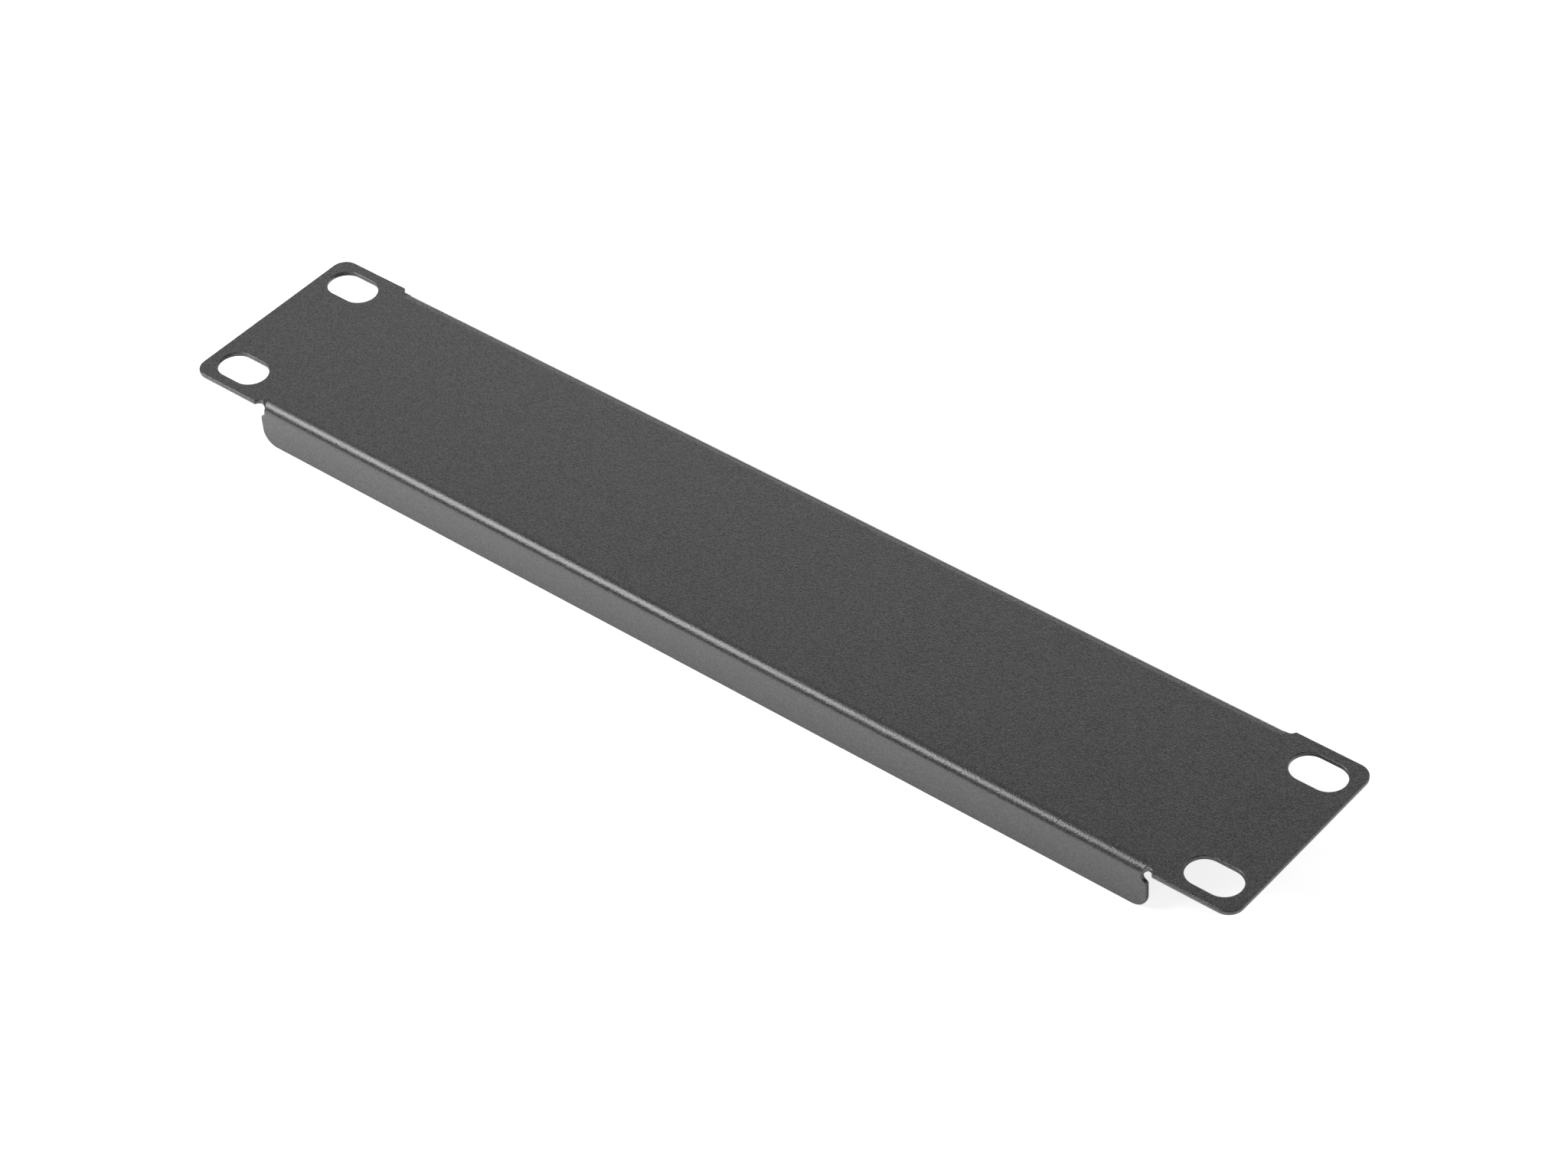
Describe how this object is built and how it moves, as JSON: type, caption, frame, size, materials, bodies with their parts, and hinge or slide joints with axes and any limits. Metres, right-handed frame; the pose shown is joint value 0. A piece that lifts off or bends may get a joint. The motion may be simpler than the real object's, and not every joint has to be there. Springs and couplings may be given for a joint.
{
  "type": "rack blanking panel",
  "caption": "Folded steel panel that closes an empty unit of a ten-inch rack, with slotted ears at its ends and flanges turned back along its long edges.",
  "frame": {"origin": "middle of the four mounting slots, on the back of the ears", "axes": "+X along the panel's length, +Y up the rack, +Z out of the panel's front face"},
  "size_m": [0.253, 0.044, 0.01],
  "materials": {
    "powder_coat": "dark grey powder coat with a fine texture, satin"
  },
  "bodies": {
    "root": {"blanking_panel": "powder_coat"}
  },
  "joints": []
}
